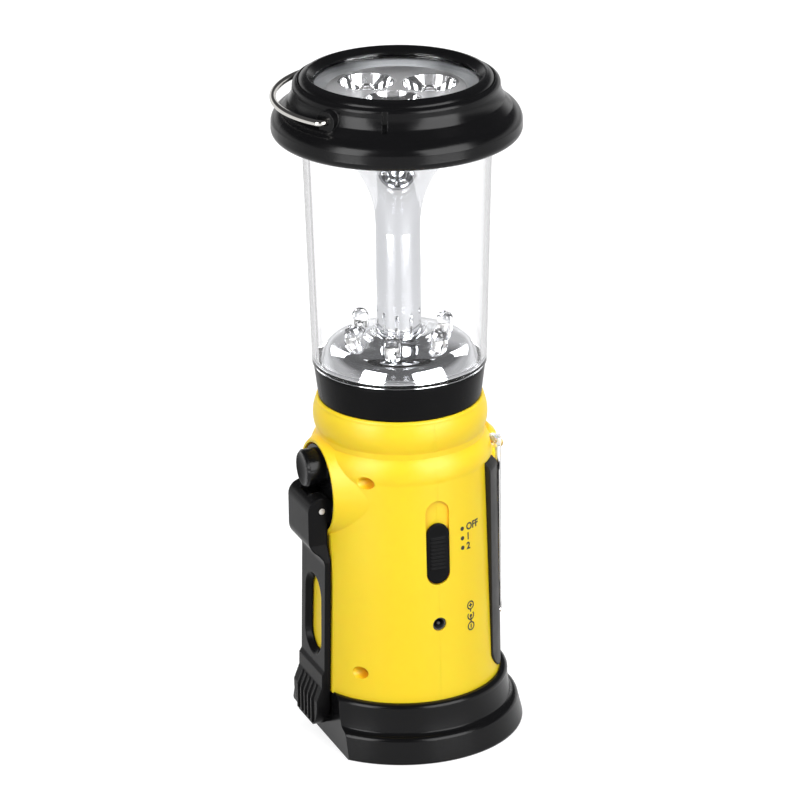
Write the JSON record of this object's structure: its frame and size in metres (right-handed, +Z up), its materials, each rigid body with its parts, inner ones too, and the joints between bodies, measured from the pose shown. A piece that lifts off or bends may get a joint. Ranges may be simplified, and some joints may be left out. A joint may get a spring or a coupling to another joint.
{
  "type": "emergency lantern radio",
  "caption": "Standing lantern with a torch lens on top, a clear lamp globe, a radio under a flip-up cover, a slide switch, a wire handle and a folding hand crank.",
  "frame": {"origin": "on the lantern axis, in the plane of the floor it stands on", "axes": "+Z up through the torch lens, +X out of the radio panel, -X out of the crank, -Y out of the slide switch"},
  "size_m": [0.075, 0.0753, 0.2092],
  "materials": {
    "yellow_shell": "satin moulded plastic",
    "black_plastic": "semi-gloss moulded plastic",
    "dark_grey_plastic": "matt moulded plastic",
    "clear_plastic": "clear polished plastic",
    "silvered_plastic": "plastic with a thin bright metal coat",
    "lamp_resin": "clear resin",
    "rubber_black": "matt",
    "bright_wire": "polished wire",
    "steel": "plain steel",
    "circuit_board": "glass-filled board",
    "component_plastic": "moulded",
    "ferrite": "sintered rod with a coil",
    "cell_wrap": "wrapped cells",
    "white_nylon": "moulded nylon"
  },
  "bodies": {
    "lantern": {"rear_shell": "yellow_shell", "front_shell": "yellow_shell", "housing_screws": "steel", "base_ring": "black_plastic", "base_plate": "black_plastic", "base_screws": "steel", "collar_ring": "black_plastic", "globe": "clear_plastic", "head_ring": "black_plastic", "lens_bezel": "black_plastic", "torch_lens": "clear_plastic", "torch_reflector": "silvered_plastic", "torch_board": "circuit_board", "torch_leds": "lamp_resin", "lantern_board": "circuit_board", "lantern_dish": "silvered_plastic", "lantern_leds": "lamp_resin", "trumpet_reflector": "silvered_plastic", "radio_fascia": "black_plastic", "button_contact": "circuit_board", "cover_pins": "steel", "tuning_capacitor": "component_plastic", "radio_board": "circuit_board", "ferrite_antenna": "ferrite", "speaker": "steel", "speaker_gasket": "rubber_black", "switch_body": "component_plastic", "charger_jack": "component_plastic", "battery_cells": "cell_wrap", "idler_axle": "steel", "generator": "steel", "gearbox_plate": "white_nylon"},
    "crank": {"crank_rotor": "black_plastic", "crank_shaft": "steel", "crank_gear": "white_nylon"},
    "arm": {"crank_arm": "dark_grey_plastic", "hinge_pin": "steel"},
    "idler": {"idler_gear": "white_nylon"},
    "generator_rotor": {"generator_pinion": "white_nylon"},
    "bail": {"bail_wire": "bright_wire"},
    "switch": {"slide_switch": "black_plastic"},
    "button": {"torch_button": "rubber_black"},
    "knob": {"tuning_knob": "black_plastic"},
    "band": {"band_switch": "black_plastic"},
    "cover": {"clear_cover": "clear_plastic"}
  },
  "joints": [
    {"name": "crank_spin", "type": "hinge", "parent": "lantern", "child": "crank", "pos_m": [-0.026, 0, 0.0809], "axis": [1, 0, 0], "continuous": true},
    {"name": "crank_fold", "type": "hinge", "parent": "crank", "child": "arm", "pos_m": [-0.029, 0, 0.0764], "axis": [0, 1, 0], "range_deg": [0, 90]},
    {"name": "idler_turn", "type": "hinge", "parent": "lantern", "child": "idler", "pos_m": [-0.018, 0, 0.06258], "axis": [1, 0, 0], "continuous": true},
    {"name": "generator_turn", "type": "hinge", "parent": "lantern", "child": "generator_rotor", "pos_m": [-0.016, 0, 0.05046], "axis": [1, 0, 0], "continuous": true},
    {"name": "bail_swing", "type": "hinge", "parent": "lantern", "child": "bail", "pos_m": [0, 0, 0.2025], "axis": [0.8616, 0.5075, 0], "range_deg": [0, 182]},
    {"name": "switch_slide", "type": "slide", "parent": "lantern", "child": "switch", "axis": [0, 0, 1], "range_m": [0, 0.0062]},
    {"name": "button_press", "type": "slide", "parent": "lantern", "child": "button", "axis": [-1, 0, 0], "range_m": [0, 0.0012], "stiffness_N_per_m": 400},
    {"name": "tuning_turn", "type": "hinge", "parent": "lantern", "child": "knob", "pos_m": [0.026, 0, 0.045], "axis": [1, 0, 0], "range_deg": [-150, 150]},
    {"name": "band_slide", "type": "slide", "parent": "lantern", "child": "band", "axis": [0, 0, 1], "range_m": [0, 0.003]},
    {"name": "cover_swing", "type": "hinge", "parent": "lantern", "child": "cover", "pos_m": [0.0266, 0, 0.0918], "axis": [0, -1, 0], "range_deg": [0, 100]}
  ],
  "couplings": [
    {"joint": "idler_turn", "follows": "crank_spin", "ratio": -3.3333},
    {"joint": "generator_turn", "follows": "crank_spin", "ratio": 10}
  ]
}
